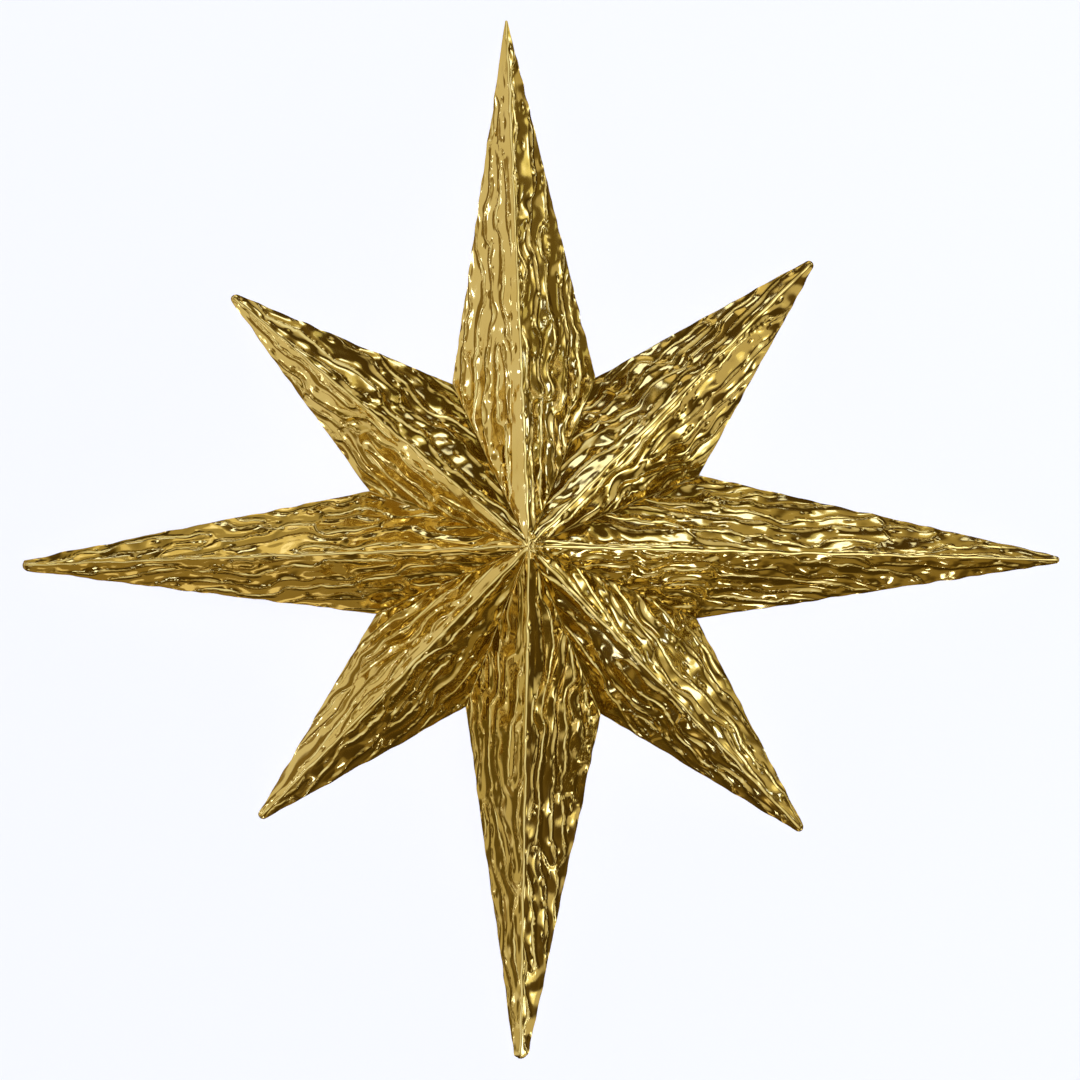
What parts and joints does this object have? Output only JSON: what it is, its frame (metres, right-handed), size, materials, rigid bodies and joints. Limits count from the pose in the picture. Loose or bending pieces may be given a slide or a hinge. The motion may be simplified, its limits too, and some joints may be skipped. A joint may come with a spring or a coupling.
{
  "type": "eight-pointed foil star ornament",
  "caption": "Hollow-backed star with long and short arms, raised spines and rippled gold faces, folded from one sheet.",
  "frame": {"origin": "on the seat plane, under the middle of the outline's box", "axes": "+Z out of the front, +Y towards the north arm as hung, +X towards the east arm"},
  "size_m": [0.2, 0.2002, 0.02],
  "materials": {
    "gold_foil_card": "mirror-gloss gold foil facing on card, embossed with fine ripples"
  },
  "bodies": {
    "root": {"folded_star": "gold_foil_card"}
  },
  "joints": []
}
